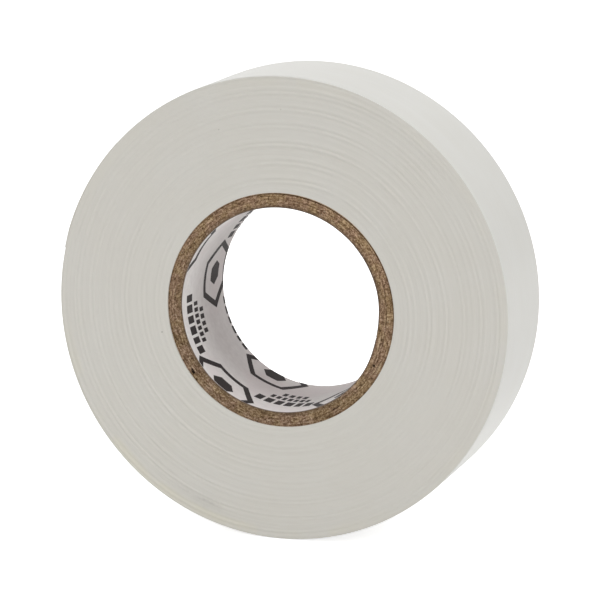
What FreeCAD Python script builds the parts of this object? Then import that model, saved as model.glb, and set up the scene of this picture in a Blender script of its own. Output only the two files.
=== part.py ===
import FreeCAD, Part

import math
import os

# Electrical tape roll, millimetres.
#
# The roll stands on its rim: the winding axis is Y, the front side faces -Y
# and +Z is up. The origin is on the winding axis, half way through the tape.
# Angles are measured in the X-Z plane from +X towards +Z, so they run
# anticlockwise for someone who looks at the front side. The strip is wound
# anticlockwise outwards.

# ---------------------------------------------------------------- dimensions
TAPE_WIDTH = 19.05        # 3/4 in strip
FILM_T = 0.130            # vinyl film
ADHESIVE_T = 0.0375       # rubber adhesive on its inner side, as wound
PITCH = FILM_T + ADHESIVE_T   # radial growth of one turn
TURNS = 107               # turns of strip on the core, 18.2 m

CORE_BORE_D = 31.75       # 1-1/4 in, measured on the paper liner
LINER_T = 0.12            # printed paper that lines the bore
PLY_T = 0.545             # one ply of paperboard, glue line included
PLIES = 4
CORE_LENGTH = 19.05
CORE_SHIFT = 0.25         # the core sits this much towards the back

SEAM_SLANT = 45.0         # the plies are wound on a slant, so their seams are too
SEAM_GAP = (0.30, 0.34, 0.30, 0.72)      # butt gaps of plies 1 to 4, square to the seam
SEAM_AT = (62.0, 7.0, 128.0, 248.0)      # where each seam crosses the middle of the core
LINER_SEAM_GAP = 0.20
LINER_SEAM_AT = 22.0

TIP_AT = 167.5            # angle of the strip's cut outer end
PEEL_AT = 136.0           # the free end is still stuck down before this angle
FREE_END_LIFT = 0.03      # the free end stands this much clear of the turn under it

# ------------------------------------------------------------------- derived
Y_FRONT = -TAPE_WIDTH / 2
CORE_FRONT = -CORE_LENGTH / 2 + CORE_SHIFT
BORE_R = CORE_BORE_D / 2
PLY_R0 = BORE_R + LINER_T
CORE_R = PLY_R0 + PLIES * PLY_T
TIP_R = CORE_R + TURNS * PITCH           # outer surface at the cut outer end

# One turn of the strip is two half circles on two centres, a quarter of a
# turn's growth either side of the axis, which meet without a corner.
ARC_A = TIP_R - 0.75 * PITCH             # outer surface, first half after the step
ARC_B = TIP_R - 0.25 * PITCH             # outer surface, second half


def u(deg):
    return FreeCAD.Vector(math.cos(math.radians(deg)), 0, math.sin(math.radians(deg)))


CENTRE_A = u(TIP_AT) * (-PITCH / 4)
CENTRE_B = u(TIP_AT) * (PITCH / 4)


def on(centre, radius, deg, y):
    p = centre + u(deg) * radius
    p.y = y
    return p


def arc(centre, radius, a0, a1, y):
    return Part.Arc(
        on(centre, radius, a0, y),
        on(centre, radius, (a0 + a1) / 2, y),
        on(centre, radius, a1, y),
    ).toShape()


def extrude(edges, length):
    face = Part.Face(Part.Wire(edges))
    solid = face.extrude(FreeCAD.Vector(0, length, 0))
    if solid.ShapeType != "Solid":
        solid = Part.makeSolid(solid.Shells[0])
    if solid.Volume < 0:
        solid.reverse()
    return solid


def line(p, q):
    return Part.LineSegment(p, q).toShape()


def full_turn(depth_out, depth_in, end_deg):
    """A strip from the step at TIP_AT round to end_deg, between two depths under the outer surface."""
    y = Y_FRONT
    a0, a1, a2 = TIP_AT, TIP_AT + 180.0, end_deg
    ro_a, ri_a = ARC_A - depth_out, ARC_A - depth_in
    ro_b, ri_b = ARC_B - depth_out, ARC_B - depth_in
    edges = [
        arc(CENTRE_A, ro_a, a0, a1, y),
        arc(CENTRE_B, ro_b, a1, a2, y),
        line(on(CENTRE_B, ro_b, a2, y), on(CENTRE_B, ri_b, a2, y)),
        arc(CENTRE_B, ri_b, a2, a1, y),
        arc(CENTRE_A, ri_a, a1, a0, y),
        line(on(CENTRE_A, ri_a, a0, y), on(CENTRE_A, ro_a, a0, y)),
    ]
    return extrude(edges, TAPE_WIDTH)


def end_strip(depth_out, depth_in):
    """The last stretch of the strip, from PEEL_AT to the cut end, a little clear of the pack."""
    y = Y_FRONT
    ro = ARC_B - depth_out + FREE_END_LIFT
    ri = ARC_B - depth_in + FREE_END_LIFT
    edges = [
        arc(CENTRE_B, ro, PEEL_AT, TIP_AT, y),
        line(on(CENTRE_B, ro, TIP_AT, y), on(CENTRE_B, ri, TIP_AT, y)),
        arc(CENTRE_B, ri, TIP_AT, PEEL_AT, y),
        line(on(CENTRE_B, ri, PEEL_AT, y), on(CENTRE_B, ro, PEEL_AT, y)),
    ]
    return extrude(edges, TAPE_WIDTH)


def tube(r_in, r_out, y0, length):
    at, along = FreeCAD.Vector(0, y0, 0), FreeCAD.Vector(0, 1, 0)
    outer = Part.makeCylinder(r_out, length, at, along)
    inner = Part.makeCylinder(r_in, length + 2, FreeCAD.Vector(0, y0 - 1, 0), along)
    return outer.cut(inner)


def seamed(solid, at_deg, gap, r_in, r_out):
    """Opens a slanted butt seam in one side of a tube."""
    # a thin slab that stands on the winding axis and points out along +X
    reach = 3 * CORE_LENGTH
    slab = Part.makeBox(
        r_out + 2 - 0.4 * r_in, reach, gap,
        FreeCAD.Vector(0.4 * r_in, -reach / 2, -gap / 2),
    )
    slab.rotate(FreeCAD.Vector(0, 0, 0), FreeCAD.Vector(1, 0, 0), SEAM_SLANT)
    # +X turns to at_deg, which is a negative turn about +Y
    slab.rotate(FreeCAD.Vector(0, 0, 0), FreeCAD.Vector(0, 1, 0), -at_deg)
    slab.translate(FreeCAD.Vector(0, CORE_SHIFT, 0))
    return solid.cut(slab)


def tape_pack():
    """Every turn but the last, bonded: a round bore, and the strip's own step on the outside."""
    y = Y_FRONT
    ra, rb = ARC_A - PITCH, ARC_B - PITCH
    a0, a1, a2 = TIP_AT, TIP_AT + 180.0, TIP_AT + 360.0
    edges = [
        arc(CENTRE_A, ra, a0, a1, y),
        arc(CENTRE_B, rb, a1, a2, y),
        line(on(CENTRE_B, rb, a2, y), on(CENTRE_A, ra, a0, y)),
    ]
    disc = extrude(edges, TAPE_WIDTH)
    bore = Part.makeCylinder(
        CORE_R, TAPE_WIDTH + 2, FreeCAD.Vector(0, y - 1, 0), FreeCAD.Vector(0, 1, 0)
    )
    return disc.cut(bore)


# -------------------------------------------------------------------- pieces
nodes = {}

nodes["core_liner"] = seamed(
    tube(BORE_R, PLY_R0, CORE_FRONT, CORE_LENGTH),
    LINER_SEAM_AT, LINER_SEAM_GAP, BORE_R, PLY_R0,
)
for n in range(PLIES):
    r0 = PLY_R0 + n * PLY_T
    r1 = r0 + PLY_T
    nodes["core_ply_%d" % (n + 1)] = seamed(
        tube(r0, r1, CORE_FRONT, CORE_LENGTH), SEAM_AT[n], SEAM_GAP[n], r0, r1
    )

nodes["tape_pack"] = tape_pack()
nodes["outer_turn_film"] = full_turn(0, FILM_T, PEEL_AT + 360.0)
nodes["outer_turn_adhesive"] = full_turn(FILM_T, PITCH, PEEL_AT + 360.0)
nodes["free_end_film"] = end_strip(0, FILM_T)
nodes["free_end_adhesive"] = end_strip(FILM_T, PITCH)

os.makedirs("parts", exist_ok=True)
for name, shape in nodes.items():
    solids = shape.Solids
    assert solids and shape.isValid(), name
    out = solids[0] if len(solids) == 1 else Part.makeCompound(solids)
    out.exportStep("parts/%s.step" % name)
    b = out.BoundBox
    print(
        "%-20s solids %d  volume %9.2f mm3  box %.3f..%.3f  %.3f..%.3f  %.3f..%.3f"
        % (name, len(solids), out.Volume, b.XMin, b.XMax, b.YMin, b.YMax, b.ZMin, b.ZMax)
    )

hinge = on(CENTRE_B, ARC_B + FREE_END_LIFT, PEEL_AT, 0)
print("peel hinge at %.4f, %.4f, %.4f" % (hinge.x, hinge.y, hinge.z))
print("outer radius at the cut end %.3f, core radius %.3f" % (TIP_R, CORE_R))
print("strip length %.0f mm" % (math.pi * (TIP_R**2 - CORE_R**2) / PITCH))
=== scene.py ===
"""The looks of the electrical tape roll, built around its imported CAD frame.

Lengths in this file are millimetres until make_mesh() turns them into metres.
Angles are degrees in the X-Z plane, from +X towards +Z.
"""
import math

import bpy
import numpy as np
from mathutils import Matrix, Vector


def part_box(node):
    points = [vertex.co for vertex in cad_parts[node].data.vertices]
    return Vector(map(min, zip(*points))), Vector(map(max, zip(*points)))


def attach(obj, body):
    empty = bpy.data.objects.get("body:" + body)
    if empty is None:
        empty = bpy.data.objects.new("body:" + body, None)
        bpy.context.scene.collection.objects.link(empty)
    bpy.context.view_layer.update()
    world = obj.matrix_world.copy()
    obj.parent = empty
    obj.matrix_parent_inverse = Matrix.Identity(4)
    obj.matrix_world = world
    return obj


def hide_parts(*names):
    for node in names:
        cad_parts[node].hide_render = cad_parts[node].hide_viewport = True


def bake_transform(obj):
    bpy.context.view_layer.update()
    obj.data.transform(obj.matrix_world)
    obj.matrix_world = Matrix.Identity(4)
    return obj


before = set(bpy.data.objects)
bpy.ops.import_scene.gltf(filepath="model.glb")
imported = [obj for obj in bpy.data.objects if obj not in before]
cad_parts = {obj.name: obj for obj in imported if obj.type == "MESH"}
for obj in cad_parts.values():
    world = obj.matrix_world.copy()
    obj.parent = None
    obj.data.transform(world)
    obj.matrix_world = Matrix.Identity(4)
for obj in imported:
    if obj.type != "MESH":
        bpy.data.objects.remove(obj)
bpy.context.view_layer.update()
MM = 0.001
AMBIENT, FLOOR_GLOW = 0.488, 0.75      # light levels

# ------------------------------------------------------- sizes shared with CAD
WIDTH = 19.05
FILM_T, ADHESIVE_T = 0.130, 0.0375
PITCH = FILM_T + ADHESIVE_T
TURNS = 107
BORE_R = 15.875
LINER_T, PLY_T, PLIES = 0.12, 0.545, 4
CORE_LENGTH, CORE_SHIFT = 19.05, 0.25
TIP_AT, PEEL_AT, LIFT = 167.5, 136.0, 0.03
PLY_R0 = BORE_R + LINER_T
CORE_R = PLY_R0 + PLIES * PLY_T
TIP_R = CORE_R + TURNS * PITCH
CORE_Y0 = -CORE_LENGTH / 2 + CORE_SHIFT
CORE_Y1 = CORE_Y0 + CORE_LENGTH

low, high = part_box("tape_pack")
assert abs(low.y / MM + WIDTH / 2) < 0.02 and abs(high.y / MM - WIDTH / 2) < 0.02
low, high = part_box("core_ply_4")
assert abs(high.x / MM - CORE_R) < 0.05 and abs(low.y / MM - CORE_Y0) < 0.02
low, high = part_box("free_end_film")
assert abs(low.x / MM - TIP_R * math.cos(math.radians(TIP_AT))) < 0.08


# -------------------------------------------------------------------- helpers
def smooth(t):
    t = np.clip(t, 0.0, 1.0)
    return t * t * (3 - 2 * t)


def nearby(deg, at, width):
    d = (deg - at + 180.0) % 360.0 - 180.0
    return np.exp(-((d / width) ** 2))


def srgb(r, g, b):
    def lin(c):
        c /= 255.0
        return c / 12.92 if c <= 0.04045 else ((c + 0.055) / 1.055) ** 2.4

    return (lin(r), lin(g), lin(b), 1.0)


def knots(seed, count, closed=False):
    values = np.random.default_rng(seed).normal(size=count)
    return np.append(values, values[0]) if closed else values


def smooth_noise(x, values):
    """A smooth curve through one random value per unit of x."""
    x = np.clip(x, 0, len(values) - 1.0001)
    i = x.astype(int)
    f = x - i
    f = f * f * (3 - 2 * f)
    return values[i] * (1 - f) + values[i + 1] * f


def value_noise(p, seed):
    """Smooth 3-D noise, one value per unit cell, about -1 to 1."""
    p = np.asarray(p, float)
    i = np.floor(p).astype(np.int64)
    f = p - i
    f = f * f * (3 - 2 * f)
    out = np.zeros(len(p))
    for corner in range(8):
        o = np.array([(corner >> a) & 1 for a in range(3)])
        c = i + o
        h = (c[:, 0] * 374761393 + c[:, 1] * 668265263 + c[:, 2] * 2147483647 + seed * 974634777) & 0xFFFFFFFF
        h = ((h ^ (h >> 13)) * 1274126177) & 0xFFFFFFFF
        h = ((h ^ (h >> 16)) * 2246822519) & 0xFFFFFFFF
        v = (h ^ (h >> 15)) / 0xFFFFFFFF * 2.0 - 1.0
        w = np.prod(np.where(o == 1, f, 1 - f), axis=1)
        out += w * v
    return out


def polar(r, deg, y):
    a = np.radians(deg)
    return np.stack(np.broadcast_arrays(r * np.cos(a), y, r * np.sin(a)), -1)


def make_mesh(name, verts, faces, material, smooth_faces=True, sharp_deg=35.0, attributes=None, merge=None):
    """verts in millimetres. Keeps each vertex's rest place, in millimetres, for the materials."""
    verts = np.asarray(verts, float).reshape(-1, 3)
    me = bpy.data.meshes.new(name)
    me.from_pydata((verts * MM).tolist(), [], faces)
    a = me.attributes.new("rest", "FLOAT_VECTOR", "POINT")
    a.data.foreach_set("vector", verts.astype(np.float32).ravel())
    for key, values in (attributes or {}).items():
        a = me.attributes.new(key, "FLOAT", "POINT")
        a.data.foreach_set("value", np.asarray(values, np.float32).ravel())
    if merge:
        import bmesh

        bm = bmesh.new()
        bm.from_mesh(me)
        bmesh.ops.remove_doubles(bm, verts=bm.verts, dist=merge * MM)
        bmesh.ops.dissolve_degenerate(bm, edges=bm.edges, dist=merge * MM)
        bm.to_mesh(me)
        bm.free()
    me.validate()
    me.update()
    obj = bpy.data.objects.new(name, me)
    bpy.context.scene.collection.objects.link(obj)
    me.materials.append(material)
    me.polygons.foreach_set("use_smooth", np.full(len(me.polygons), smooth_faces))
    if smooth_faces and sharp_deg:
        me.set_sharp_from_angle(angle=math.radians(sharp_deg))
    me.update()
    return obj


def quads(a, b, c, d):
    return np.stack([a, b, c, d], -1).reshape(-1, 4).tolist()


def ring_grid(rows, columns, wrap_rows, wrap_columns, start=0, flip=False):
    """Quads of a grid of rows x columns vertices, numbered row by row."""
    i = np.arange(rows if wrap_rows else rows - 1)
    j = np.arange(columns if wrap_columns else columns - 1)
    i, j = np.meshgrid(i, j, indexing="ij")
    i2, j2 = (i + 1) % rows, (j + 1) % columns
    a, b = start + i * columns + j, start + i * columns + j2
    c, d = start + i2 * columns + j2, start + i2 * columns + j
    return quads(a, d, c, b) if flip else quads(a, b, c, d)


# ---------------------------------------------------- the roll's worn-in shape
RIM = 0.05          # the last turns' edges are pulled in this far from the sides
SHOULDER = 0.03     # the outside drops this much where it meets the sides


def settle(r, y):
    """How the wound tape departs from sharp corners: both the radius and the side move in near the rim."""
    r, y = np.broadcast_arrays(np.asarray(r, float), np.asarray(y, float))
    edge = np.clip(np.abs(y) / (WIDTH / 2), 0, 1.02)
    w = smooth((r - (TIP_R - 0.9)) / 0.9) ** 2
    near = smooth((edge - 0.86) / 0.14)
    y2 = y - np.sign(y) * RIM * w * np.clip((edge - 0.5) / 0.5, 0, 1)
    r2 = r - SHOULDER * near**2 * smooth((r - (TIP_R - 2.5)) / 2.5)
    return r2, y2


BAND_AT = (18.05, 20.9, 23.75, 26.5, 29.25, 31.85, 34.4, 36.95)    # radii of the ridges at 0 degrees


def band_table():
    """One ridge and groove across the turns, from the slopes of its flanks."""
    x = np.linspace(-1.35, 1.35, 541)
    slope = np.exp(-((x / 0.17) ** 2)) - 0.95 * np.exp(-(((x + 0.36) / 0.16) ** 2)) - 0.85 * np.exp(-(((x - 0.33) / 0.15) ** 2))
    slope = slope + 0.42 * np.exp(-(((x - 0.80) / 0.28) ** 2)) + 0.42 * np.exp(-(((x + 0.80) / 0.24) ** 2))
    slope = slope - slope.mean()
    height = -np.cumsum(slope) * (x[1] - x[0])
    return x, (height - height.mean()) / 0.17, slope


BAND_X, BAND_H, BAND_S = band_table()


def band_height(r, deg, phase, seed, table=None):
    """Small axial offsets of the strip's edges: ridges in a slow spiral across the turns."""
    table = BAND_H if table is None else table
    turn = np.interp(r, BAND_AT, np.arange(len(BAND_AT))) + deg / 360.0 + phase
    wobble = 0.035 * smooth_noise((deg % 360.0) / 30.0, knots(seed, 12, True))
    x = (turn + wobble) % 1.0
    x = np.where(x > 0.5, x - 1.0, x) * 2.7
    k = knots(seed + 2, 30, True)
    level = 0.85 + 0.22 * smooth_noise(deg % 360.0 / 12.0, k)
    k2 = knots(seed + 1, 40)
    level = level * (0.85 + 0.22 * smooth_noise((r - CORE_R) / 0.55, k2))
    level = level * (1.0 + 0.75 * nearby(deg, 62.0, 45.0) + 0.7 * nearby(deg, 82.0, 26.0) + 0.95 * nearby(deg, 222.0, 36.0))
    return np.interp(x, BAND_X, table) * level


# ------------------------------------------------------------------ materials
class Nodes:
    """A small writer of shader nodes."""

    def __init__(self, name):
        self.mat = bpy.data.materials.new(name)
        self.mat.use_nodes = True
        self.nt = self.mat.node_tree
        self.nt.nodes.clear()
        self.out = self.nt.nodes.new("ShaderNodeOutputMaterial")
        self.p = self.nt.nodes.new("ShaderNodeBsdfPrincipled")
        self.nt.links.new(self.p.outputs[0], self.out.inputs[0])

    def feed(self, socket, value):
        if isinstance(value, bpy.types.NodeSocket):
            self.nt.links.new(value, socket)
        else:
            socket.default_value = value

    def attribute(self, name, vector=False):
        n = self.nt.nodes.new("ShaderNodeAttribute")
        n.attribute_name = name
        return n.outputs["Vector" if vector else "Fac"]

    def math(self, op, a, b=0.0, c=None, clamp=False):
        n = self.nt.nodes.new("ShaderNodeMath")
        n.operation = op
        n.use_clamp = clamp
        self.feed(n.inputs[0], a)
        self.feed(n.inputs[1], b)
        if c is not None:
            self.feed(n.inputs[2], c)
        return n.outputs[0]

    def vmath(self, op, a, b=(0, 0, 0)):
        n = self.nt.nodes.new("ShaderNodeVectorMath")
        n.operation = op
        self.feed(n.inputs[0], a)
        self.feed(n.inputs[1], b)
        return n.outputs["Value"] if op in ("LENGTH", "DOT_PRODUCT", "DISTANCE") else n.outputs["Vector"]

    def scaled(self, vector, x, y, z):
        return self.vmath("MULTIPLY", vector, (x, y, z))

    def split(self, vector):
        n = self.nt.nodes.new("ShaderNodeSeparateXYZ")
        self.feed(n.inputs[0], vector)
        return n.outputs[0], n.outputs[1], n.outputs[2]

    def join(self, x, y, z):
        n = self.nt.nodes.new("ShaderNodeCombineXYZ")
        for i, v in enumerate((x, y, z)):
            self.feed(n.inputs[i], v)
        return n.outputs[0]

    def noise(self, vector, scale, detail=2.0, rough=0.5):
        n = self.nt.nodes.new("ShaderNodeTexNoise")
        self.feed(n.inputs["Vector"], vector)
        n.inputs["Scale"].default_value = scale
        n.inputs["Detail"].default_value = detail
        n.inputs["Roughness"].default_value = rough
        return n.outputs["Fac"]

    def cells(self, vector, scale, feature="F1"):
        n = self.nt.nodes.new("ShaderNodeTexVoronoi")
        n.feature = feature
        self.feed(n.inputs["Vector"], vector)
        n.inputs["Scale"].default_value = scale
        return n

    def span(self, value, lo, hi, to_lo=0.0, to_hi=1.0):
        n = self.nt.nodes.new("ShaderNodeMapRange")
        n.interpolation_type = "SMOOTHSTEP"
        self.feed(n.inputs["Value"], value)
        n.inputs["From Min"].default_value = lo
        n.inputs["From Max"].default_value = hi
        n.inputs["To Min"].default_value = to_lo
        n.inputs["To Max"].default_value = to_hi
        return n.outputs["Result"]

    def mix(self, factor, a, b, blend="MIX"):
        n = self.nt.nodes.new("ShaderNodeMix")
        n.data_type = "RGBA"
        n.blend_type = blend
        self.feed(n.inputs[0], factor)
        self.feed(n.inputs[6], a)
        self.feed(n.inputs[7], b)
        return n.outputs[2]

    def ramp(self, value, stops):
        n = self.nt.nodes.new("ShaderNodeValToRGB")
        self.feed(n.inputs[0], value)
        e = n.color_ramp.elements
        while len(e) > 1:
            e.remove(e[-1])
        e[0].position, e[0].color = stops[0]
        for at, colour in stops[1:]:
            s = e.new(at)
            s.color = colour
        return n.outputs[0]

    def bump(self, height, strength, distance):
        n = self.nt.nodes.new("ShaderNodeBump")
        n.inputs["Strength"].default_value = strength
        n.inputs["Distance"].default_value = distance
        self.feed(n.inputs["Height"], height)
        return n.outputs[0]

    def round_about(self, rest):
        """(radius, cosine, sine) of the place round the winding axis."""
        x, _, z = self.split(rest)
        r = self.math("SQRT", self.math("ADD", self.math("MULTIPLY", x, x), self.math("MULTIPLY", z, z)))
        return r, self.math("DIVIDE", x, r), self.math("DIVIDE", z, r)


def side_material():
    """The slit edges of the wound strip: matt white vinyl, one faint line per turn."""
    m = Nodes("wound_vinyl_edges")
    rest = m.attribute("rest", True)
    tone, groove, smudge = m.attribute("tone"), m.attribute("groove"), m.attribute("smudge")
    # tone: random per-turn tone, and painted light and shade on the ridges' flanks
    base = m.mix(m.span(tone, -1.6, 1.6), srgb(217, 214, 206), srgb(229, 226, 218))
    # groove: the adhesive's yellower line between turns, darkened further as painted shade in the groove
    base = m.mix(m.math("MULTIPLY", groove, 0.25), base, srgb(200, 196, 186))
    # faint cloudiness
    cloud = m.noise(m.scaled(rest, 0.12, 0.12, 0.12), 1.0, 3.0)
    base = m.mix(m.span(cloud, 0.35, 0.7, 0.0, 0.35), base, srgb(224, 222, 216))
    # dust and small nicks
    speck = m.cells(m.scaled(rest, 0.17, 0.17, 0.17), 1.0)
    spot = m.span(speck.outputs["Distance"], 0.012, 0.03, 1.0, 0.0)
    base = m.mix(m.math("MULTIPLY", spot, 0.45), base, srgb(120, 112, 100))
    # a thumbed grey mark near the rim
    grit = m.span(m.noise(m.scaled(rest, 1.4, 1.4, 1.4), 1.0, 4.0, 0.65), 0.42, 0.66)
    base = m.mix(m.math("MULTIPLY", smudge, m.math("MULTIPLY_ADD", grit, 0.45, 0.40)), base, srgb(172, 168, 162))
    r, c, s = m.round_about(rest)
    ring = m.math("MULTIPLY", m.span(r, 33.9, 34.9), m.span(r, 35.9, 35.4, 0.35, 1.0))
    rim = m.math("MULTIPLY", ring, m.span(m.noise(m.scaled(rest, 0.16, 0.16, 0.16), 1.0, 1.0), 0.38, 0.62))
    lower_left = m.span(m.math("ADD", m.math("MULTIPLY", c, -0.55), m.math("MULTIPLY", s, -0.84)), 0.55, 0.98, 0.2, 0.9)
    base = m.mix(m.math("MULTIPLY", rim, lower_left), base, srgb(225, 221, 207))
    m.feed(m.p.inputs["Base Color"], base)
    m.feed(m.p.inputs["Roughness"], m.span(m.noise(rest, 2.2, 2.0), 0.3, 0.7, 0.50, 0.62))
    m.p.inputs["Specular IOR Level"].default_value = 0.42
    m.feed(m.p.inputs["Normal"], m.bump(m.noise(m.scaled(rest, 6.0, 6.0, 6.0), 1.0, 3.0), 0.06, 0.00002))
    return m.mat


def film_material():
    """Calendered vinyl film: satin, nearly even, with faint lines along its length."""
    m = Nodes("vinyl_film")
    rest = m.attribute("rest", True)
    r, c, s = m.round_about(rest)
    _, y, _ = m.split(rest)
    lines = m.noise(m.join(m.math("MULTIPLY", y, 3.1), m.math("MULTIPLY", c, 1.3), m.math("MULTIPLY", s, 1.3)), 1.0, 4.0, 0.6)
    cloud = m.noise(m.scaled(rest, 0.10, 0.22, 0.10), 1.0, 2.0)
    base = m.mix(m.span(lines, 0.3, 0.7), srgb(225, 224, 218), srgb(229, 228, 223))
    base = m.mix(m.span(cloud, 0.3, 0.7, 0.0, 0.4), base, srgb(223, 221, 214))
    m.feed(m.p.inputs["Base Color"], base)
    m.feed(m.p.inputs["Roughness"], m.span(lines, 0.25, 0.75, 0.29, 0.38))
    m.p.inputs["Specular IOR Level"].default_value = 0.5
    peel = m.noise(m.scaled(rest, 1.6, 1.6, 1.6), 1.0, 3.0)
    height = m.math("ADD", m.math("MULTIPLY", peel, 0.7), m.math("MULTIPLY", lines, 0.6))
    m.feed(m.p.inputs["Normal"], m.bump(height, 0.12, 0.00003))
    return m.mat


def adhesive_material():
    """Clear rubber adhesive on white film: a little yellower and glossier than the film."""
    m = Nodes("rubber_adhesive")
    rest = m.attribute("rest", True)
    blot = m.noise(m.scaled(rest, 0.55, 0.55, 0.55), 1.0, 4.0, 0.6)
    base = m.mix(m.span(blot, 0.30, 0.70), srgb(221, 217, 205), srgb(226, 222, 210))
    m.feed(m.p.inputs["Base Color"], base)
    m.feed(m.p.inputs["Roughness"], m.span(blot, 0.3, 0.7, 0.24, 0.32))
    m.feed(m.p.inputs["Normal"], m.bump(m.noise(m.scaled(rest, 2.6, 2.6, 2.6), 1.0, 4.0), 0.20, 0.00003))
    return m.mat


def board_material():
    """Raw paperboard, cut across: short brown fibres with lighter and darker flecks."""
    m = Nodes("paperboard")
    rest = m.attribute("rest", True)
    depth = m.attribute("depth")
    r, c, s = m.round_about(rest)
    x, y, z = m.split(rest)
    coarse = m.noise(rest, 1.35, 2.0, 0.5)
    mottle = m.noise(m.vmath("ADD", rest, (7.3, 1.1, 3.7)), 2.6, 3.0, 0.6)
    fleck = m.noise(rest, 6.0, 2.0, 0.6)

    def fibres(per_mm_along, per_mm_across, shift):
        """Noise drawn out along the ring, like the fibres of each ply."""
        k = 17.0 * per_mm_along
        return m.noise(
            m.join(m.math("MULTIPLY_ADD", c, k, shift), m.math("MULTIPLY_ADD", s, k, 2.0 * shift),
                   m.math("MULTIPLY_ADD", r, per_mm_across, m.math("MULTIPLY", y, 1.5))),
            1.0, 3.0, 0.6,
        )

    fibre, streak = fibres(1.7, 5.0, 3.1), fibres(0.45, 3.6, 8.7)
    mixed = m.math("ADD", m.math("MULTIPLY", mottle, 0.25), m.math("MULTIPLY", fleck, 0.30))
    mixed = m.math("ADD", mixed, m.math("MULTIPLY", fibre, 0.25))
    mixed = m.math("ADD", mixed, m.math("MULTIPLY", streak, 0.20))
    base = m.ramp(
        mixed,
        [
            (0.395, srgb(72, 54, 38)),
            (0.46, srgb(117, 94, 70)),
            (0.525, srgb(153, 128, 101)),
            (0.60, srgb(200, 176, 146)),
        ],
    )
    # olive and pinkish drifts
    hue = m.span(m.noise(m.scaled(rest, 0.42, 0.42, 0.42), 1.0, 2.0), 0.40, 0.60)
    base = m.mix(1.0, base, m.mix(hue, (1.0, 0.995, 0.92, 1), (1.025, 0.985, 1.05, 1)), "MULTIPLY")
    # lighter towards the upper right and outwards, darker at the upper left and low down towards the bore
    lean = m.math("ADD", m.math("MULTIPLY", c, 0.5), m.math("MULTIPLY", s, 0.866))
    outward = m.span(r, 16.3, 17.4, 0.25, 1.0)
    level = m.math("MULTIPLY_ADD", m.math("MULTIPLY", lean, outward), 0.15, 1.11)
    left = m.span(m.math("ADD", m.math("MULTIPLY", c, -0.82), m.math("MULTIPLY", s, 0.57)), -0.25, 0.75)
    level = m.math("SUBTRACT", level, m.math("MULTIPLY", left, m.span(r, 17.55, 17.0, 0.012, 0.078)))
    low = m.span(s, -0.25, -0.8)
    level = m.math("SUBTRACT", level, m.math("MULTIPLY", low, m.span(r, 17.0, 16.5, 0.0, 0.055)))
    right = m.span(m.math("ADD", m.math("MULTIPLY", c, 0.71), m.math("MULTIPLY", s, 0.71)), 0.25, 0.85)
    level = m.math("ADD", level, m.math("MULTIPLY", right, m.span(r, 17.3, 17.8, 0.0, 0.05)))
    base = m.mix(1.0, base, m.join(level, m.math("MULTIPLY_ADD", lean, -0.015, level), m.math("MULTIPLY_ADD", lean, -0.03, level)), "MULTIPLY")
    # stray pale fibres and dark bits
    bits = m.cells(m.vmath("ADD", rest, (0.31, 0.17, 0.73)), 1.25)
    base = m.mix(m.span(bits.outputs["Distance"], 0.10, 0.17, 0.60, 0.0), base, srgb(196, 178, 150))
    dark = m.cells(m.vmath("ADD", rest, (2.1, 5.3, 0.4)), 1.05)
    base = m.mix(m.span(dark.outputs["Distance"], 0.07, 0.13, 0.80, 0.0), base, srgb(66, 50, 34))
    front = m.span(y, CORE_Y0 + 1.2, CORE_Y0 + 0.8)

    def patch(deg, radius, half_along, half_across):
        """1 at a place on the front end, 0 a little way off."""
        t = math.radians(deg)
        cx, cz = radius * math.cos(t), radius * math.sin(t)
        dx, dz = m.math("SUBTRACT", x, cx), m.math("SUBTRACT", z, cz)
        al = m.math("ADD", m.math("MULTIPLY", dx, -math.sin(t) / half_along), m.math("MULTIPLY", dz, math.cos(t) / half_along))
        ac = m.math("ADD", m.math("MULTIPLY", dx, math.cos(t) / half_across), m.math("MULTIPLY", dz, math.sin(t) / half_across))
        d = m.math("ADD", m.math("MULTIPLY", al, al), m.math("MULTIPLY", ac, ac))
        return m.math("MULTIPLY", m.span(d, 0.35, 1.3, 1.0, 0.0), front)

    # a scuffed pale place, and a few torn dark ones
    for deg, radius, la, lr, much in ((333.0, 17.62, 1.4, 0.16, 0.95), (331.0, 17.25, 1.0, 0.12, 0.75), (344.0, 16.25, 2.2, 0.20, 0.45)):
        scuff = m.math("MULTIPLY", patch(deg, radius, la, lr), m.span(fibre, 0.40, 0.58, 0.15 * much, much))
        base = m.mix(scuff, base, srgb(208, 184, 150))
    for deg, radius, la, lr, much in (
        (333.0, 16.80, 0.26, 0.17, 0.85),
        (334.0, 17.42, 1.1, 0.10, 0.55),
        (291.5, 18.06, 0.20, 0.13, 0.80),
        (337.0, 18.04, 0.22, 0.12, 0.70),
        (203.0, 16.25, 0.45, 0.16, 0.45),
        (30.0, 17.95, 0.6, 0.08, 0.4),
    ):
        base = m.mix(m.math("MULTIPLY", patch(deg, radius, la, lr), much), base, srgb(58, 42, 28))
    # the end is darker towards the bore, where it has been handled, but not at the lower right
    clean = m.span(m.math("ADD", m.math("MULTIPLY", c, 0.92), m.math("MULTIPLY", s, -0.39)), 0.80, 0.97, 1.0, 0.0)
    inner = m.math("MULTIPLY", m.span(r, PLY_R0 + 0.62, PLY_R0 + 0.05), m.span(coarse, 0.35, 0.6, 0.30, 0.55))
    base = m.mix(m.math("MULTIPLY", inner, clean), base, srgb(90, 76, 62))
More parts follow.
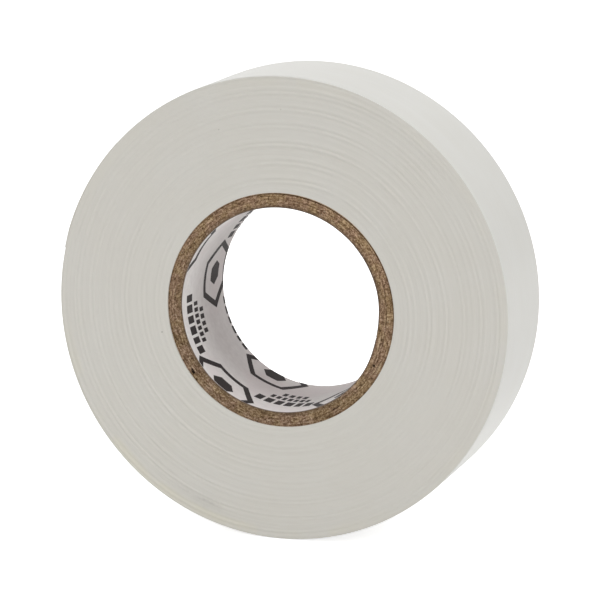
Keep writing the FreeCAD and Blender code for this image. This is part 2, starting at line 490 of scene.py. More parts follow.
    # painted shade: a dark line just inside the outer edge, where the raised skin shades the end, strongest at the
    # upper right, with a pale skin outside it at the upper right
    upper = m.span(lean, -0.2, 0.9, 0.0, 1.0)
    line = m.math("MULTIPLY", m.span(m.math("ABSOLUTE", m.math("SUBTRACT", r, 18.0)), 0.03, 0.15, 1.0, 0.0), m.span(coarse, 0.35, 0.55, 0.6, 1.0))
    base = m.mix(m.math("MULTIPLY", line, m.math("MULTIPLY_ADD", upper, 0.50, 0.26)), base, srgb(62, 46, 32))
    skin = m.math("MULTIPLY", m.span(r, 18.06, 18.15), upper)
    base = m.mix(m.math("MULTIPLY", skin, 0.55), base, srgb(178, 148, 118))
    # depth darkens the glue lines, and paints shade in the seams, the slit, the groove by the skin and at the core's
    # edges
    base = m.mix(m.math("MULTIPLY", depth, 0.95), base, srgb(43, 28, 15))
    m.feed(m.p.inputs["Base Color"], base)
    m.p.inputs["Roughness"].default_value = 0.92
    m.p.inputs["Specular IOR Level"].default_value = 0.15
    m.feed(m.p.inputs["Normal"], m.bump(m.math("ADD", mottle, m.math("MULTIPLY", fleck, 0.8)), 0.8, 0.00008))
    return m.mat


def liner_material():
    """Smooth white liner paper with faint formation."""
    m = Nodes("liner_paper")
    rest = m.attribute("rest", True)
    cloud = m.noise(m.scaled(rest, 0.9, 0.9, 0.9), 1.0, 5.0, 0.62)
    slow = m.noise(m.scaled(rest, 0.10, 0.10, 0.10), 1.0, 1.0)
    base = m.mix(m.span(cloud, 0.3, 0.7), srgb(224, 219, 216), srgb(234, 230, 227))
    base = m.mix(m.span(slow, 0.45, 0.65, 0.0, 0.5), base, srgb(226, 215, 214))
    _, y, _ = m.split(rest)
    # painted light and shade: the liner lighter near the bore's front end and darker deeper inside
    base = m.mix(m.span(y, 3.5, -7.5), m.mix(1.0, base, (0.88, 0.865, 0.868, 1), "MULTIPLY"), m.mix(1.0, base, (1.13, 1.135, 1.14, 1), "MULTIPLY"))
    base = m.mix(m.attribute("cut_edge"), base, srgb(104, 84, 66))
    m.feed(m.p.inputs["Base Color"], base)
    m.feed(m.p.inputs["Roughness"], m.span(cloud, 0.3, 0.7, 0.52, 0.64))
    m.p.inputs["Specular IOR Level"].default_value = 0.35
    m.feed(m.p.inputs["Normal"], m.bump(m.noise(m.scaled(rest, 5.0, 5.0, 5.0), 1.0, 3.0), 0.25, 0.00003))
    return m.mat


def ink_material():
    """Black printing ink, a little uneven where the paper took it."""
    m = Nodes("printing_ink")
    rest = m.attribute("rest", True)
    uneven = m.noise(m.scaled(rest, 3.2, 3.2, 3.2), 1.0, 4.0, 0.65)
    base = m.mix(m.span(uneven, 0.35, 0.7), srgb(42, 35, 35), srgb(62, 54, 52))
    m.feed(m.p.inputs["Base Color"], base)
    m.feed(m.p.inputs["Roughness"], m.span(uneven, 0.3, 0.7, 0.5, 0.7))
    m.p.inputs["Specular IOR Level"].default_value = 0.18
    return m.mat


SIDE, FILM, ADHESIVE = side_material(), film_material(), adhesive_material()
BOARD, LINER, INK = board_material(), liner_material(), ink_material()


# ------------------------------------------------- the wound turns, as a spiral
def wound_turns():
    per = 150                      # steps round one turn
    last = (TURNS - 1) * per       # the pack's strip ends here
    k = np.arange(last + 1)
    deg = TIP_AT + k * 360.0 / per
    skin = nearby(deg, 58.0, 32.0)
    # each turn is two half circles on two centres, as in the outer strip
    part = (k % per) / per
    grown = np.where(part < 0.5, 0.25 - 0.25 * np.cos(2 * np.pi * part), 0.75 + 0.25 * np.cos(2 * np.pi * part))
    r_out = CORE_R + PITCH * (k // per + grown)
    r_in = np.maximum(CORE_R, r_out - PITCH)
    thick = r_out - r_in
    # each turn keeps its own small offset, which changes slowly round it
    wander_f = smooth_noise(k / per * 5.0, knots(11, TURNS * 5 + 3))
    wander_b = smooth_noise(k / per * 5.0, knots(12, TURNS * 5 + 3))
    slow_f = smooth_noise(k / per * 0.45, knots(13, TURNS + 3))
    slow_b = smooth_noise(k / per * 0.45, knots(14, TURNS + 3))
    tone = 0.10 * smooth_noise(k / per * 3.0 + 0.5, knots(15, TURNS * 3 + 6)) + 0.10 * smooth_noise(
        k / per * 0.8, knots(16, TURNS + 3)
    )

    def edge(r, wander, slow, phase, seed, extra):
        off = 0.0010 * wander + 0.0010 * slow + 0.042 * band_height(r, deg, phase, seed)
        return WIDTH / 2 - 0.030 + off - extra

    groups, tones, grooves, smudges = [], [], [], []

    def smudge_at(r, d):
        """A thumbed mark near the rim: a short dark streak in a faint cloud."""
        x, z = r * np.cos(np.radians(d)), r * np.sin(np.radians(d))
        total = 0.0 * x
        for at, rc, lean, length, width, amount in (
            (248.4, 33.15, 2.0, 0.75, 0.15, 0.62),
            (250.6, 33.25, 8.0, 0.70, 0.30, 0.42),
            (249.3, 33.7, 0.0, 2.6, 0.95, 0.20),
            (243.0, 33.2, 0.0, 3.2, 0.7, 0.14),
            (240.0, 33.0, 0.0, 1.6, 0.4, 0.10),
        ):
            u = np.radians(at)
            cx, cz = rc * np.cos(u), rc * np.sin(u)
            v = u + np.pi / 2 + np.radians(lean)
            along = (x - cx) * np.cos(v) + (z - cz) * np.sin(v)
            across = -(x - cx) * np.sin(v) + (z - cz) * np.cos(v)
            total = total + amount * np.exp(-((along / length) ** 2) - (across / width) ** 2)
        return np.clip(total, 0, 1)

    def add(r, y_abs, front, groove):
        y = -y_abs if front else y_abs
        r2, y2 = settle(r, y)
        if front:
            r2 = r2 + 0.075 * skin * np.exp(-(r - CORE_R) / 1.2)
        groups.append(polar(r2, deg, y2))
        # painted light and shade on the ridges: a tone that follows each ridge's slope, with the sign the lamps give
        # its flanks round the face
        if front:
            ridge_shading = 0.50 * nearby(deg, 80.0, 30.0) - 0.16 * nearby(deg, 225.0, 36.0) + 0.07 * nearby(deg, 15.0, 40.0)
        else:
            ridge_shading = 0.15 * nearby(deg, 300.0, 60.0)
        tones.append(tone + ridge_shading * band_height(r, deg, 0.0 if front else 0.45, 21 if front else 31, BAND_S))
        grooves.append(np.full(len(r), groove))
        smudges.append(smudge_at(r, deg) if front else np.zeros(len(r)))

    for front in (True, False):
        wander, slow = (wander_f, slow_f) if front else (wander_b, slow_b)
        phase, seed = (0.0, 21) if front else (0.45, 31)
        rs = (r_in, r_in + 0.16 * thick, r_in + 0.93 * thick)
        add(rs[0], edge(rs[0], wander, slow, phase, seed, 0.016), front, 1.0)
        add(rs[1], edge(rs[1], wander, slow, phase, seed, 0.0), front, 0.0)
        add(rs[2], edge(rs[2], wander, slow, phase, seed, 0.001), front, 0.15)
    n = last + 1
    G, A, B = 0, n, 2 * n
    G2, A2, B2 = 3 * n, 4 * n, 5 * n
    # the outside of the last turn, across its width
    kk = np.arange(last - per + 1, last + 1)
    rows = np.array([-1.0, -0.965, -0.92, -0.86, -0.6, 0.0, 0.6, 0.86, 0.92, 0.965, 1.0])
    start = 6 * n
    outer = []
    for w in rows:
        half = edge(r_out, wander_f if w < 0 else wander_b, slow_f if w < 0 else slow_b, 0.0 if w < 0 else 0.45, 21 if w < 0 else 31, 0.004)
        r2, y2 = settle(r_out[kk], (w * half)[kk])
        outer.append(polar(r2, deg[kk], y2))
    verts = np.concatenate(groups + [np.concatenate(outer)])
    extra = len(rows) * len(kk)
    tones = np.concatenate(tones + [np.zeros(extra)])
    grooves = np.concatenate(grooves + [np.zeros(extra)])
    smudges = np.concatenate(smudges + [np.zeros(extra)])

    def outside(i, row):
        """The vertex outside strip place i, on the front (row 0) or the back (row -1)."""
        row = row % len(rows)
        nxt = (G if row == 0 else G2) + i + per
        own = start + row * len(kk) + (i - kk[0])
        return np.where(i + per <= last, nxt, own)

    i = np.arange(last)
    j = i + 1
    faces = []
    for g, a, b, row, flip in ((G, A, B, 0, False), (G2, A2, B2, -1, True)):
        o_i, o_j = outside(i, row), outside(j, row)
        for p, q, p2, q2 in ((g + i, a + i, g + j, a + j), (a + i, b + i, a + j, b + j), (b + i, o_i, b + j, o_j)):
            faces += quads(p, q, q2, p2) if flip else quads(p, p2, q2, q)
    # the outside wall: its first column is the turn-end vertex under the step
    m = len(kk)
    first = [int(G + last)] + [None] * (len(rows) - 2) + [int(G2 + last)]
    # middle vertices for the column at the step
    step_r, step_deg = r_out[last - per], deg[last - per]
    add_v = []
    for t, w in enumerate(rows):
        if first[t] is None:
            r2, y2 = settle(step_r, w * (WIDTH / 2 - 0.012))
            first[t] = len(verts) + len(add_v)
            add_v.append(polar(r2, step_deg, y2))
    verts = np.concatenate([verts, np.array(add_v).reshape(-1, 3)])
    tones, grooves, smudges = (np.concatenate([x, np.zeros(len(add_v))]) for x in (tones, grooves, smudges))
    for t in range(len(rows) - 1):
        col_a = np.concatenate([[first[t]], start + t * m + np.arange(m)])
        col_b = np.concatenate([[first[t + 1]], start + (t + 1) * m + np.arange(m)])
        faces += quads(col_a[:-1], col_b[:-1], col_b[1:], col_a[1:])
    # the end of the last turn, a step one turn high
    end = [int(G + last), int(A + last), int(B + last)] + [int(start + t * m + m - 1) for t in range(len(rows))]
    end += [int(B2 + last), int(A2 + last), int(G2 + last)] + [int(v) for v in first[-2:0:-1]]
    faces.append(end)
    # the bore
    i = np.arange(per)
    faces += quads(G + i, G2 + i, G2 + i + 1, G + i + 1)
    # per-face material: the outside wall shows film
    obj = make_mesh(
        "wound_turns", verts, faces, SIDE, sharp_deg=50.0,
        attributes={"tone": tones, "groove": grooves, "smudge": smudges}, merge=0.0004,
    )
    me = obj.data
    me.materials.append(FILM)
    normals = np.zeros(len(me.polygons) * 3)
    me.polygons.foreach_get("normal", normals)
    centres = np.zeros(len(me.polygons) * 3)
    me.polygons.foreach_get("center", centres)
    normals, centres = normals.reshape(-1, 3), centres.reshape(-1, 3)
    radius = np.hypot(centres[:, 0], centres[:, 2]) / MM
    wall = (np.abs(normals[:, 1]) < 0.6) & (radius > TIP_R - 2.6 * PITCH)
    me.polygons.foreach_set("material_index", wall.astype(np.int32))
    me.update()
    return obj


# ------------------------------------------------------- the outer turn's layers
def arc_parts(deg):
    """Centre offset (x, z) and outer radius of the strip's last turn, at angles from TIP_AT to TIP_AT + 360."""
    u = np.array([math.cos(math.radians(TIP_AT)), math.sin(math.radians(TIP_AT))])
    second = (deg - TIP_AT) > 180.0 + 1e-9
    centre = np.where(second[:, None], u * PITCH / 4, -u * PITCH / 4)
    radius = np.where(second, TIP_R - PITCH / 4, TIP_R - 0.75 * PITCH)
    return centre, radius


def strip(name, material, degs, outer_depth, inner_depth, lift=None, columns=None, end_wave=0.0, neck=0.0, soft=0.25):
    """A closed strip along the last turn between two depths under its outer surface."""
    columns = columns if columns is not None else np.concatenate(
        [[-1.0, -0.992, -0.975, -0.95, -0.915, -0.87], np.linspace(-0.78, 0.78, 9), [0.87, 0.915, 0.95, 0.975, 0.992, 1.0]]
    )
    degs = np.asarray(degs, float)
    centre, radius = arc_parts(degs)
    lift = np.zeros(len(degs)) if lift is None else lift
    half = WIDTH / 2 - 0.014 + 0.004 * smooth_noise((degs - degs[0]) / 14.0, knots(41, int((degs[-1] - degs[0]) / 14) + 4))
    half = half - neck * smooth((degs - (degs[-1] - 6.5)) / 6.5) ** 1.5
    sections = []
    thick = inner_depth - outer_depth
    outline = []
    for c in columns:                       # outer surface, front to back
        outline.append((c, outer_depth + soft * thick * smooth((abs(c) - 0.985) / 0.015)))
    for c in columns[::-1]:                 # inner surface, back to front
        outline.append((c, inner_depth))
    for c, depth in outline:
        y = c * half
        r = radius - depth + lift
        r2, y2 = settle(r, y)
        a = np.radians(degs)
        p = np.stack([centre[:, 0] + r2 * np.cos(a), y2, centre[:, 1] + r2 * np.sin(a)], -1)
        if end_wave:
            t = smooth((degs - (degs[-1] - 1.6)) / 1.6)
            shift = end_wave * t * (np.sin(c * 5.1 + 0.4) + 0.5 * np.sin(c * 13.0))
            p = p + np.stack([-np.sin(a) * shift, 0 * a, np.cos(a) * shift], -1)
        sections.append(p)
    verts = np.stack(sections, 1)           # along the strip, then round the section
    n, m = verts.shape[:2]
    faces = ring_grid(n, m, False, True)
    verts = verts.reshape(-1, 3)
    h = len(columns)
    for s, flip in ((0, False), ((n - 1) * m, True)):   # the two ends
        for c in range(h - 1):
            f = [s + c, s + c + 1, s + 2 * h - 2 - c, s + 2 * h - 1 - c]
            faces.append(f[::-1] if flip else f)
    obj = make_mesh(name, verts, faces, material, sharp_deg=40.0)
    return obj


def outer_degrees(a, b, step, fine):
    """Angles from a to b with small steps at both ends, where shading has to meet a neighbour's."""
    ramp = np.array([0, 0.05, 0.15, 0.35, 0.7]) * fine
    mid = np.linspace(a + fine, b - fine, int(round((b - a - 2 * fine) / step)) + 1)
    return np.concatenate([a + ramp, mid, (b - ramp)[::-1]])


turns = wound_turns()
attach(turns, "roll")
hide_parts("tape_pack")

around = outer_degrees(TIP_AT, PEEL_AT + 360.0, 1.0, 1.0)
outer_film = strip("outer_film", FILM, around, 0.0, FILM_T)
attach(outer_film, "roll")
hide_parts("outer_turn_film")
outer_glue = strip("outer_adhesive", ADHESIVE, around, FILM_T, PITCH, soft=0.0)
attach(outer_glue, "roll")
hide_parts("outer_turn_adhesive")

end_degs = outer_degrees(PEEL_AT + 360.0, TIP_AT + 360.0, 0.2, 0.2)
along = (end_degs - end_degs[0]) / (end_degs[-1] - end_degs[0])
mm_along = np.radians(end_degs - end_degs[0]) * TIP_R
end_lift = LIFT * smooth(mm_along / 0.9) + 0.015 * smooth((along - 0.75) / 0.25) ** 2


free_film = strip("free_film", FILM, end_degs, 0.0, FILM_T, lift=end_lift, end_wave=0.035, neck=0.30)
# the adhesive still reaches the turn under it, except near the cut end
reach = (end_lift - 0.001) * (1.0 - smooth((along - 0.80) / 0.16))
free_glue = strip(
    "free_adhesive", ADHESIVE, end_degs, FILM_T, PITCH + np.maximum(reach, 0.0), lift=end_lift, end_wave=0.035, neck=0.30, soft=0.0
)
for piece, node, slot_name in (
    (free_film, "free_end_film", "vinyl_film"),
    (free_glue, "free_end_adhesive", "adhesive"),
):
    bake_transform(piece)
    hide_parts(node)


# --------------------------------------------------------------------- the core
SEAM_FRONT = (28.0, 333.0, 96.0, 216.0)      # where each ply's seam meets the front end
SEAM_WIDE = (0.12, 0.30, 0.14, 1.15)         # along the end face


def burr(deg, y):
    """How far the knife pushed the bore's front edge inwards at the lower right."""
    return 0.26 * nearby(deg, 350.0, 17.0) * smooth((CORE_Y0 + 2.6 - y) / 2.6) ** 1.5


def ply_edge(n, deg, y):
    """Radius of the face between ply n - 1 and ply n, which wanders a little round the core."""
    nominal = PLY_R0 + n * PLY_T
    if n == 0:
        return nominal - burr(deg, y)
    amount = (0, 0.05, 0.06, 0.045, 0.0)[n]
    k = knots(50 + n, 18, True)
    out = nominal + amount * smooth_noise(deg % 360.0 / 20.0, k) + 0 * y
    front = smooth((CORE_Y0 + 4.0 - y) / 4.0)
    if n == 2:       # a looser stretch between the second and third plies
        out = out + front * (0.30 * nearby(deg, 286.0, 18.0) - 0.24 * nearby(deg, 350.0, 20.0))
    if n == 3:       # the slit at the outer seam has a torn inner edge
        out = out - front * 0.22 * nearby(deg, 216.0, 4.0)
    return out


def seam_degrees(n, y):
    """Where ply n's seam is at y: it slants round the core at 45 degrees."""
    r = PLY_R0 + (n + 0.5) * PLY_T
    return SEAM_FRONT[n] + np.degrees((y - CORE_Y0) / r)


def joint_glue_and_shade(n, deg):
    """How dark the joint inside ply n is round the front end: a glue line, with painted shade where the joint between
    the second and third plies looks open.
    """
    base = 0.10 + 0.07 * smooth_noise(deg % 360.0 / 10.0, knots(95 + n, 36, True))
    if n == 2:
        patchy = 0.75 + 0.25 * smooth_noise(deg % 360.0 / 2.5, knots(99, 144, True))
        base = base + 0.50 * patchy * np.maximum(nearby(deg, 305.0, 24.0), nearby(deg, 354.0, 28.0))
    return np.clip(base, 0.0, 1.0)


def core_ply(n):
    per = 640
    r_mid = PLY_R0 + (n + 0.5) * PLY_T
    # share across the wall, depth below the end, darkness (dark glue lines, and painted shade at the core's edges, in
    # the seams and in the groove by the skin)
    face = [(0.0, 0.036, None), (0.11, 0.010, "near"), (0.24, 0, 0.0), (0.34, 0, 0.0), (0.5, 0, 0.0),
            (0.66, 0, 0.0), (0.76, 0, 0.0), (0.89, 0.010, "near"), (1.0, 0.036, None)]
    if n == PLIES - 1:
        # the outer ply's own skin stands a little apart from the rest
        face = [(0.0, 0.036, None), (0.11, 0.010, "near"), (0.24, 0, 0.0), (0.37, 0, 0.0), (0.49, 0, 0.0),
                (0.56, 0.010, "skin"), (0.64, 0.09, "skin2"), (0.76, 0.10, "skin2"), (0.785, -0.10, "skin"),
                (0.81, -0.205, "lip"), (0.92, -0.225, "lip"), (1.0, -0.215, "lip")]
    across = len(face)

    def ripple(r, deg, seed):
        p = polar(r, deg, 0)
        flat = [p[..., 0].ravel(), p[..., 2].ravel()]
        out = 0.0
        for size, weight, k in ((0.28, 0.5, 0), (0.75, 0.35, 7), (2.2, 0.25, 13)):
            q = np.stack([flat[0] / size, flat[1] / size, np.full(flat[0].size, seed * 3.3 + k)], -1)
            out = out + weight * value_noise(q, seed + k)
        return out.reshape(np.shape(r))

    ys_wall = np.concatenate([[0.008, 0.03], np.linspace(0, 1, 9)[1:-1], [0.97, 0.992]])
    ring = [("front", f, 0.0, d, k) for f, d, k in face]
    ring += [("wall", 1.0, v, 0, 1.0) for v in ys_wall]
    ring += [("back", f, 1.0, d, k) for f, d, k in face[::-1]]
    ring += [("wall", 0.0, v, 0, 1.0) for v in ys_wall[::-1]]
    t = np.linspace(0, 1, per)
    sections, depths = [], []
    for kind, f, v, drop, dark in ring:
        y = np.full(per, CORE_Y0 + v * CORE_LENGTH)
        wide = SEAM_WIDE[n]
        if n == PLIES - 1:                   # the skin closes over the outer seam
            wide = wide if f < 0.50 else 0.04
        full = math.degrees(SEAM_WIDE[n] / r_mid)
        own = math.degrees(wide / r_mid)
        run = full / 2 + t * (360.0 - full)
        close = (full - own) / 2
        run = run - close * np.exp(-(run - full / 2) / 1.2) + close * np.exp(-(360.0 - full / 2 - run) / 1.2)
        deg = seam_degrees(n, y) + run
        r0, r1 = ply_edge(n, deg, y), ply_edge(n + 1, deg, y)
        gap = 0.008                          # glue line
        r0 = r0 + (gap if n > 0 else 0.0)
        r1 = r1 - (gap if n < PLIES - 1 else 0.0)
        r = r0 + f * (r1 - r0)
        if kind == "wall":
            # painted shade on the walls, dark where they show in the seams and the slit
            depth = np.full(per, 0.30 if n == 0 and f == 0.0 else 0.86)
        else:
            skin = nearby(deg, 58.0, 32.0) if kind == "front" else 0.5 * nearby(deg, 200.0, 60.0)
            # joints: dark glue lines, with painted shade at the core's inner and outer edges
            if dark is None or dark == "near":
                which = n if f < 0.5 else n + 1
                depth = joint_glue_and_shade(which, deg) if kind == "front" else 0.12 + 0 * deg
                depth = np.where(which in (0, PLIES), 0.35, depth) if dark is None else (
                    np.where(which in (0, PLIES), 0.0, 0.75 * np.clip(depth - 0.2, 0, 1)))
            # painted shade in the groove between the end face and the outer ply's raised skin, and on its sides
            elif dark == "skin":
                depth, drop = 0.30 * skin, drop * skin
            elif dark == "skin2":
                depth, drop = 1.0 * skin, drop * skin
            elif dark == "lip":
                depth, drop = 0.0 * skin, drop * skin
                r = r + 0.085 * skin
            else:
                depth = np.full(per, float(dark))
            h = 0.030 * ripple(r, deg, 60 + n * 4 + (kind == "back")) * (0.5 if f in (0.0, 1.0) else 1.0)
            step = 0.010 * smooth_noise(deg % 360.0 / 24.0, knots(80 + n, 15, True))
            y = y + (-1 if kind == "front" else 1) * (h + step - 0.02 - drop)
        sections.append(polar(r, deg, y))
        depths.append(depth)
    verts = np.stack(sections, 1)
    m = verts.shape[1]
    faces = ring_grid(per, m, False, True)
    w = len(ys_wall)
    for s, flip in ((0, False), ((per - 1) * m, True)):
        # the seam's two faces, as quads from the front end's row to the back end's
        front = [s + c for c in range(across)]
        back = [s + across + w + c for c in range(across)][::-1]
        outer_w = [s + across + c for c in range(w)]
        inner_w = [s + 2 * across + w + c for c in range(w)][::-1]
        lines_in = [front[0]] + inner_w + [back[0]]
        lines_out = [front[-1]] + outer_w + [back[-1]]
        for c in range(1, len(lines_in) - 2):
            f4 = [lines_in[c], lines_out[c], lines_out[c + 1], lines_in[c + 1]]
            faces.append(f4 if flip else f4[::-1])
        first = front + [lines_out[1], lines_in[1]]
        lastf = [lines_in[-2], lines_out[-2]] + back[::-1]
        faces.append(first if flip else first[::-1])
        faces.append(lastf if flip else lastf[::-1])
    depths = np.stack(depths, 1).ravel()
    obj = make_mesh("ply_%d" % (n + 1), verts.reshape(-1, 3), faces, BOARD, sharp_deg=60.0, attributes={"depth": depths})
    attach(obj, "roll")
    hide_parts("core_ply_%d" % (n + 1))
    return obj


plies = [core_ply(n) for n in range(PLIES)]


def liner():
    per = 420
    gap = math.degrees(0.20 / math.cos(math.radians(45)) / BORE_R)
    ys = np.concatenate([[0.0, 0.0015], np.linspace(0.015, 0.985, 60), [0.9985, 1.0]])
    ring = [("in", v) for v in ys] + [("out", v) for v in ys[::-1]]
    run = gap / 2 + np.linspace(0, 1, per) * (360.0 - gap)
    sections, cut_edge = [], []
    for side, v in ring:
        cut_edge.append(np.full(per, 0.9 if v in (0.0, 1.0) or side == "out" else 0.0))
        y = np.full(per, CORE_Y0 + v * CORE_LENGTH)
        deg = 22.0 - 34.0 + np.degrees((y - CORE_Y0) / BORE_R) + run
        wave = 0.003 * smooth_noise(deg % 360.0 / 12.0, knots(91, 30, True))
        end = 0.03 * smooth_noise(deg % 360.0 / 9.0, knots(92, 40, True)) - 0.01
        y = y + np.where(v < 0.01, end, 0.0) - np.where(v > 0.99, end, 0.0)
        r = BORE_R + (0.0 if side == "in" else LINER_T - 0.004) + (wave if side == "in" else 0.0) - burr(deg, y)
        if v in (0.0, 1.0):
            r = r + (0.015 if side == "in" else -0.015)
        sections.append(polar(r, deg, y))
    verts = np.stack(sections, 1)
    m = verts.shape[1]
    h = len(ys)
    faces = ring_grid(per, m, False, True, flip=True)
    for s, flip in ((0, True), ((per - 1) * m, False)):
        for c in range(h - 1):
            f = [s + c, s + c + 1, s + 2 * h - 2 - c, s + 2 * h - 1 - c]
            faces.append(f[::-1] if flip else f)
    obj = make_mesh(
        "bore_liner", verts.reshape(-1, 3), faces, LINER, sharp_deg=50.0,
        attributes={"cut_edge": np.stack(cut_edge, 1).ravel()},
    )
    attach(obj, "roll")
    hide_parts("core_liner")
    return obj


bore_liner = liner()


# ------------------------------------------------- plain printed marks on the liner
def turned(points, degrees):
    a = math.radians(degrees)
    c, s = math.cos(a), math.sin(a)
    return [(x * c - y * s, x * s + y * c) for x, y in points]


def block(x, y, w, h, slant=0.0):
    return [(x - w / 2, y - h / 2), (x + w / 2, y - h / 2), (x + w / 2 + slant, y + h / 2), (x - w / 2 + slant, y + h / 2)]


def hexagon_frame(size, stroke):
    """Six convex strips that make a hexagonal outline of that height across its flats."""
    out = []
    ro = size / 2 / math.cos(math.radians(30))
    ri = (size / 2 - stroke) / math.cos(math.radians(30))
    for n in range(6):
        a, b = math.radians(60 * n), math.radians(60 * (n + 1))
        out.append([(ro * math.cos(a), ro * math.sin(a)), (ro * math.cos(b), ro * math.sin(b)),
                    (ri * math.cos(b), ri * math.sin(b)), (ri * math.cos(a), ri * math.sin(a))])
    return out


def emblem():
    """A plain hexagonal outline with one small solid hexagon in its middle."""
    r = 1.75 / math.cos(math.radians(30))
    return hexagon_frame(10.0, 1.0) + [[(r * math.cos(math.radians(60 * n)), r * math.sin(math.radians(60 * n))) for n in range(6)]]


def dash_rows():
    """Three rows of plain blocks: a bold one and two small ones."""
    out = []
    x = -4.7
    for w in (1.15, 1.25, 1.15, 1.3, 1.0, 1.2):
        out.append(block(x + w / 2, 0.0, w, 2.35))
        x += w + 0.47
    x = -3.25
    for w in (0.62, 0.66, 0.60, 0.68, 0.62, 0.64, 0.6):
        out.append(block(x + w / 2, 2.75, w, 1.55))
        x += w + 0.34
    x = -2.05
    for w in (0.66, 0.74, 0.66, 0.7):
        out.append(block(x + w / 2, 4.95, w, 1.5))
        x += w + 0.44
    return out


def clip(poly, low_y, high_y):
    for limit, keep_above in ((low_y, True), (high_y, False)):
        out = []
        for p, q in zip(poly, poly[1:] + poly[:1]):
            inside_p = p[1] >= limit if keep_above else p[1] <= limit
            inside_q = q[1] >= limit if keep_above else q[1] <= limit
            if inside_p:
                out.append(p)
            if inside_p != inside_q:
                t = (limit - p[1]) / (q[1] - p[1])
                out.append((p[0] + t * (q[0] - p[0]), limit))
        poly = out
        if len(poly) < 3:
            return []
    return poly


def printed(marks):
    """Thin raised ink on the inside of the liner, wrapped round it. marks: (list of polygons, angle, y, turn)."""
    verts, faces = [], []
    lo_y, hi_y = CORE_Y0 + 0.05, CORE_Y1 - 0.05
    for shapes, at, y0, turn in marks:
        for shape in shapes:
            poly = [(x, y + y0) for x, y in turned(shape, turn)]
            poly = clip(poly, lo_y, hi_y)
            if not poly:
                continue
            xs = sorted({round(p[0], 5) for p in poly})
            cuts = []
            for a, b in zip(xs[:-1], xs[1:]):
                count = max(1, int(math.ceil((b - a) / 0.35)))
                cuts += [a + (b - a) * i / count for i in range(count)]
            cuts.append(xs[-1])
            spans = []
            for x in cuts:
                hits = []
                for p, q in zip(poly, poly[1:] + poly[:1]):
                    if abs(p[0] - q[0]) < 1e-7:
                        if abs(p[0] - x) < 1e-5:
                            hits += [p[1], q[1]]
                        continue
                    t = (x - p[0]) / (q[0] - p[0])
                    if min(p[0], q[0]) - 2e-5 <= x <= max(p[0], q[0]) + 2e-5:
                        hits.append(p[1] + min(max(t, 0.0), 1.0) * (q[1] - p[1]))
                spans.append((min(hits), max(hits)))
            base = len(verts)
            for x, (a, b) in zip(cuts, spans):
                deg = at + math.degrees(x / BORE_R)
                if b - a < 1e-4:
                    b = a + 1e-4
                for r in (BORE_R - 0.018, BORE_R + 0.02):
                    for y in (a, b):
                        verts.append(tuple(polar(r, deg, y)))
            for i in range(len(cuts) - 1):
                s, t = base + 4 * i, base + 4 * (i + 1)
                faces += [[s, s + 1, t + 1, t], [s + 2, t + 2, t + 3, s + 3],
                          [s, t, t + 2, s + 2], [s + 1, s + 3, t + 3, t + 1]]
            s, t = base, base + 4 * (len(cuts) - 1)
            faces += [[s, s + 2, s + 3, s + 1], [t, t + 1, t + 3, t + 2]]
    obj = make_mesh("liner_print", np.array(verts), faces, INK, sharp_deg=30.0)
    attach(obj, "roll")
    return obj


E, D = emblem(), dash_rows()
liner_print = printed(
    [
        (E, 146.0, -11.75, 2.0),
        (D, 194.0, -6.15, -2.0),
        (E, 232.0, -7.95, 0.0),
        (D, 266.0, -4.1, -4.0),
        (E, 304.5, -5.0, 0.0),
        (D, 339.0, -1.9, -3.0),
        (E, 17.5, -2.3, 0.0),
        (D, 56.0, 0.9, -3.0),
        (E, 94.0, 1.6, 0.0),
        (D, 134.0, 7.5, -3.0),
        (E, 171.5, 5.25, 3.0),
        (D, 205.5, 10.15, -2.0),
        (E, 245.0, 8.15, 3.0),
        (E, 318.0, 11.0, 0.0),
    ]
)


# ------------------------------------------------------------------------ stage
bpy.context.view_layer.update()
lowest = min(min((o.matrix_world @ v.co).z for v in o.data.vertices) for o in (outer_film, turns))
bpy.ops.mesh.primitive_plane_add(size=12.0, location=(0, 0.0, lowest - 0.00001))
floor = bpy.context.object
floor.name = "floor"
m = Nodes("pale_floor")
m.p.inputs["Base Color"].default_value = (0.93, 0.93, 0.93, 1)
m.p.inputs["Roughness"].default_value = 0.9
m.p.inputs["Specular IOR Level"].default_value = 0.1
glow, ray, both = (m.nt.nodes.new("ShaderNode" + k) for k in ("Emission", "LightPath", "AddShader"))
glow.inputs["Color"].default_value = (1, 1, 1, 1)
# a patch of floor close to the roll, at its back, glows for glossy rays only: a painted reflection on the film
spot = m.nt.nodes.new("ShaderNodeNewGeometry").outputs["Position"]
spot_x, spot_y, _ = m.split(spot)
behind = m.math("MULTIPLY", m.span(spot_x, 0.050, 0.032), m.span(spot_y, 0.0, 0.02))
reflection_glow = m.math("MULTIPLY", m.math("MULTIPLY", ray.outputs["Is Glossy Ray"], behind), 0.34)
m.nt.links.new(m.math("MULTIPLY_ADD", ray.outputs["Is Camera Ray"], FLOOR_GLOW, reflection_glow), glow.inputs["Strength"])
m.nt.links.new(m.p.outputs[0], both.inputs[0])
m.nt.links.new(glow.outputs[0], both.inputs[1])
m.nt.links.new(both.outputs[0], m.out.inputs[0])
floor.data.materials.append(m.mat)

# soft white surroundings, which the camera sees as plain white
world = bpy.data.worlds.new("studio")
world.use_nodes = True
wt = world.node_tree
back = wt.nodes["Background"]
back.inputs[0].default_value = (1.0, 1.0, 1.0, 1)
back.inputs[1].default_value = AMBIENT
seen = wt.nodes.new("ShaderNodeBackground")
seen.inputs[0].default_value = (1.0, 1.0, 1.0, 1)
seen.inputs[1].default_value = 1.0
path, pick = wt.nodes.new("ShaderNodeLightPath"), wt.nodes.new("ShaderNodeMixShader")
wt.links.new(path.outputs["Is Camera Ray"], pick.inputs[0])
wt.links.new(back.outputs[0], pick.inputs[1])
wt.links.new(seen.outputs[0], pick.inputs[2])
wt.links.new(pick.outputs[0], wt.nodes["World Output"].inputs[0])
bpy.context.scene.world = world


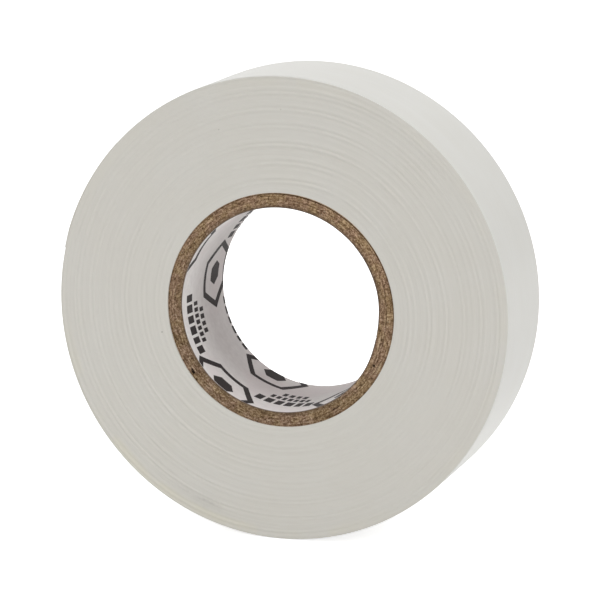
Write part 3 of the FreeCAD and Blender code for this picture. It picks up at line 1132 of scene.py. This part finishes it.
def lamp(name, place, aim, size, power, colour=(1, 1, 1)):
    data = bpy.data.lights.new(name, "AREA")
    data.shape = "RECTANGLE"
    data.size, data.size_y = size
    data.energy = power
    data.color = colour
    obj = bpy.data.objects.new(name, data)
    bpy.context.scene.collection.objects.link(obj)
    obj.location = place
    obj.rotation_euler = (Vector(aim) - Vector(place)).to_track_quat("-Z", "Y").to_euler()
    return obj


lamp("upper_right", (0.60, -0.18, 0.78), (0, 0, 0), (0.50, 0.40), 2.40)
lamp("top", (0.0, 0.20, 0.95), (0, 0, 0), (0.80, 0.80), 2.77)
lamp("front", (-0.15, -0.95, 0.30), (0, 0, 0), (0.80, 0.60), 1.24)
lamp("backdrop", (-0.50, 1.20, 0.16), (0, 0, 0), (1.10, 0.44), 0.85)

# ----------------------------------------------------------------------- camera
AZ, EL, DIST = 18.120, 11.417, 522.38
FOCAL_PX, CX, CY = 3369.07, 298.957, 299.047
a, e = math.radians(AZ), math.radians(EL)
C = Vector((math.sin(a) * math.cos(e), -math.cos(a) * math.cos(e), math.sin(e))) * DIST
fwd = (-C).normalized()
right = fwd.cross(Vector((0, 0, 1))).normalized()
up = right.cross(fwd)
ux, uy = (CX - 300) / FOCAL_PX, -(CY - 300) / FOCAL_PX
yaw = math.atan2(ux, 1.0)
f1 = math.cos(yaw) * fwd - math.sin(yaw) * right
r1 = math.cos(yaw) * right + math.sin(yaw) * fwd
pitch = math.atan2(uy, math.sqrt(1 + ux * ux))
f2 = math.cos(pitch) * f1 - math.sin(pitch) * up
u2 = math.cos(pitch) * up + math.sin(pitch) * f1
cam_data = bpy.data.cameras.new("camera")
cam_data.sensor_width = 36.0
cam_data.lens = 36.0 * FOCAL_PX / 600.0
cam_data.clip_start, cam_data.clip_end = 0.01, 20.0
cam = bpy.data.objects.new("camera", cam_data)
bpy.context.scene.collection.objects.link(cam)
cam.matrix_world = Matrix(
    (
        (r1.x, u2.x, -f2.x, C.x * MM),
        (r1.y, u2.y, -f2.y, C.y * MM),
        (r1.z, u2.z, -f2.z, C.z * MM),
        (0, 0, 0, 1),
    )
)
bpy.context.scene.camera = cam
bpy.context.scene.view_settings.view_transform = "Standard"
